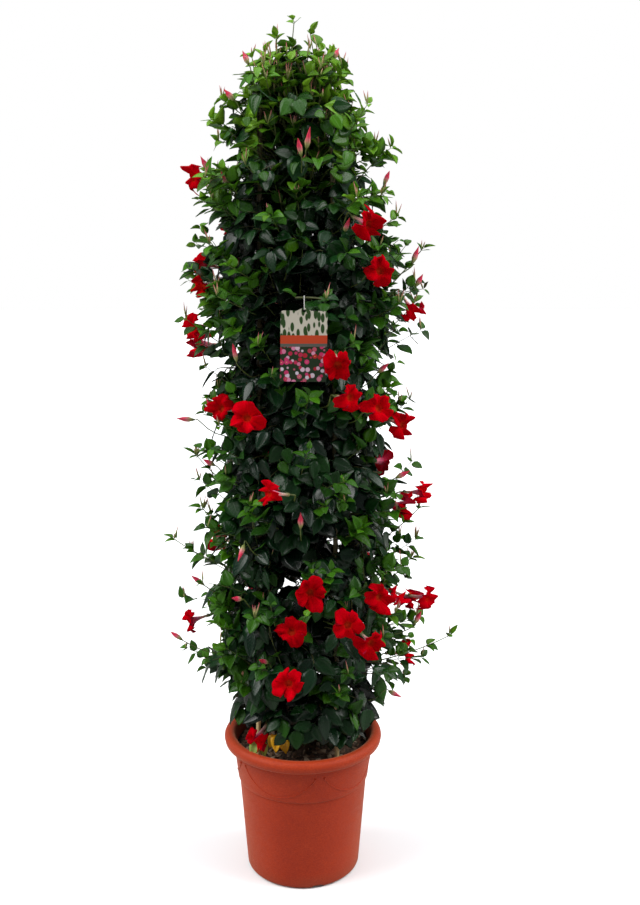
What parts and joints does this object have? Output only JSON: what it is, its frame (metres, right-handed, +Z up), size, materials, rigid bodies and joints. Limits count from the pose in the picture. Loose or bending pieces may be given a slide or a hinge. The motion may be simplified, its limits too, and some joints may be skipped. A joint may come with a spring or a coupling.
{
  "type": "potted climbing plant",
  "caption": "Tall tower of climbing mandevilla with glossy leaves and red trumpet flowers, tied up on canes in a round nursery pot.",
  "frame": {"origin": "middle of the pot's base, on the ground", "axes": "+Z up along the pot's axis, the front with the hang tag towards -Y, +X to the right as seen from the front"},
  "size_m": [0.5506, 0.5054, 1.5522],
  "materials": {
    "pot plastic": "matte, finely grained terracotta",
    "potting soil": "rough damp peat and bark",
    "bamboo": "satin",
    "leaves": "glossy, veined",
    "petals": "velvety satin",
    "printed card": null,
    "tie plastic": "satin"
  },
  "bodies": {
    "root": {"pot": "pot plastic", "soil": "potting soil", "cane_1": "bamboo", "cane_2": "bamboo", "cane_3": "bamboo", "cane_4": "bamboo", "vine_1": "leaves", "vine_2": "leaves", "vine_3": "leaves", "vine_4": "leaves", "vine_5": "leaves", "vine_6": "leaves", "vine_7": "leaves", "vine_8": "leaves", "bloom_1": "petals", "bloom_2": "petals", "bloom_3": "petals", "bloom_4": "petals", "bloom_5": "petals", "bloom_6": "petals", "bloom_7": "petals", "bloom_8": "petals", "bloom_9": "petals", "bloom_10": "petals", "bloom_11": "petals", "bloom_12": "petals", "bloom_13": "petals", "bloom_14": "petals", "bloom_15": "petals", "bloom_16": "petals", "bloom_17": "petals", "bloom_18": "petals", "bloom_19": "petals", "bloom_20": "petals", "bloom_21": "petals", "bloom_22": "petals", "bloom_23": "petals", "bloom_24": "petals", "bloom_25": "petals", "bloom_26": "petals", "bloom_27": "petals", "bloom_28": "petals", "bloom_29": "petals", "bloom_30": "petals", "bloom_31": "petals", "bloom_32": "petals", "bloom_33": "petals", "bloom_34": "petals", "bloom_35": "petals", "bloom_36": "petals", "bloom_37": "petals", "bloom_38": "petals", "bloom_39": "petals", "bloom_40": "petals", "label_card": "printed card", "label_tie": "tie plastic"}
  },
  "joints": []
}
